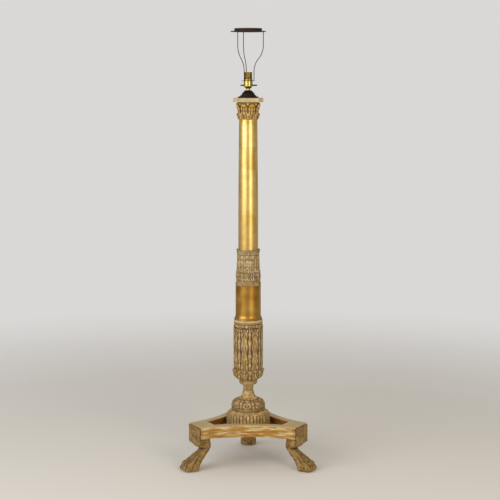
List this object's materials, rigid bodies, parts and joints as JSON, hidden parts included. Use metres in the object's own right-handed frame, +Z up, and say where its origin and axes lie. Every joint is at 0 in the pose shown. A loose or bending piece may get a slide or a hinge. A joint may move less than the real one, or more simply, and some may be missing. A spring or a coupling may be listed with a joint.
{
  "type": "candlestick floor lamp",
  "caption": "Floor lamp: gilded and carved wooden column on a three-sided base with paw feet, push-bar bayonet lampholder and wire shade gallery.",
  "frame": {"origin": "column axis on the floor plane, under the middle of the three-sided base", "axes": "+Z up along the column, -Y towards the front rail, +X to the lamp's right as seen from the front"},
  "size_m": [0.5166, 0.4524, 1.6393],
  "materials": {
    "gold_leaf": "burnished gold leaf on wood",
    "old_gold": "worn darker gold on wood",
    "carved_gesso": "distressed cream and gold on carved wood",
    "capital_gilding": "warm gold-tan gilding on carved wood",
    "cream_paint": "worn cream paint on wood",
    "rail_gilding": "streaked gold with cream and orange wear on wood",
    "leg_gilding": "worn gold on carved wood",
    "bare_wood": "stained wood",
    "dark_bronze": "dark brown patina",
    "brass": "polished",
    "aged_brass": "dull, aged",
    "black_bar": "black",
    "insulator": "dark, matte",
    "contact_brass": "plain",
    "black_iron": "blackened, thin brown wear",
    "steel": "plain zinc",
    "flex_cover": "gold-coloured flex",
    "bush": "black"
  },
  "bodies": {
    "lamp": {"gilt_shaft": "gold_leaf", "gilt_drum": "old_gold", "leaf_collar": "carved_gesso", "leaf_drum": "carved_gesso", "calyx_bowl": "carved_gesso", "twist_bead": "carved_gesso", "neck": "carved_gesso", "bell": "carved_gesso", "leaf_dome": "carved_gesso", "gadroon_torus": "carved_gesso", "ring_moulding": "carved_gesso", "cavetto": "old_gold", "capital": "capital_gilding", "abacus": "cream_paint", "cream_fillet": "cream_paint", "rail_1": "rail_gilding", "rail_2": "rail_gilding", "rail_3": "rail_gilding", "corner_block_1": "rail_gilding", "corner_block_2": "rail_gilding", "corner_block_3": "rail_gilding", "leg_1": "leg_gilding", "leg_2": "leg_gilding", "leg_3": "leg_gilding", "hub_block": "bare_wood", "vase_cap": "dark_bronze", "lock_nut": "brass", "holder_body": "brass", "shade_ring": "brass", "holder_skirt": "aged_brass", "bulb_collar": "contact_brass", "holder_insulator": "insulator", "terminal_screws": "contact_brass", "column_rod": "steel", "rod_washer": "steel", "rod_nut": "steel", "inner_flex": "flex_cover", "cord_bush": "bush"},
    "gallery": {"carrier_ring": "black_iron", "gallery_wire_1": "black_iron", "gallery_wire_2": "black_iron", "gallery_wire_3": "black_iron", "gallery_ring": "black_iron"},
    "plunger_left_body": {"plunger_left": "contact_brass"},
    "plunger_right_body": {"plunger_right": "contact_brass"},
    "push_bar_body": {"push_bar": "black_bar"}
  },
  "joints": [
    {"name": "gallery_swivel", "type": "hinge", "parent": "lamp", "child": "gallery", "pos_m": [0, 0, 1.4479], "axis": [0, 0, 1], "continuous": true},
    {"name": "push_bar_slide", "type": "slide", "parent": "lamp", "child": "push_bar_body", "axis": [1, 0, 0], "range_m": [-0.0044, 0]},
    {"name": "plunger_left_slide", "type": "slide", "parent": "lamp", "child": "plunger_left_body", "axis": [0, 0, 1], "range_m": [-0.004, 0], "stiffness_N_per_m": 500, "springref_m": 0.003},
    {"name": "plunger_right_slide", "type": "slide", "parent": "lamp", "child": "plunger_right_body", "axis": [0, 0, 1], "range_m": [-0.004, 0], "stiffness_N_per_m": 500, "springref_m": 0.003}
  ]
}
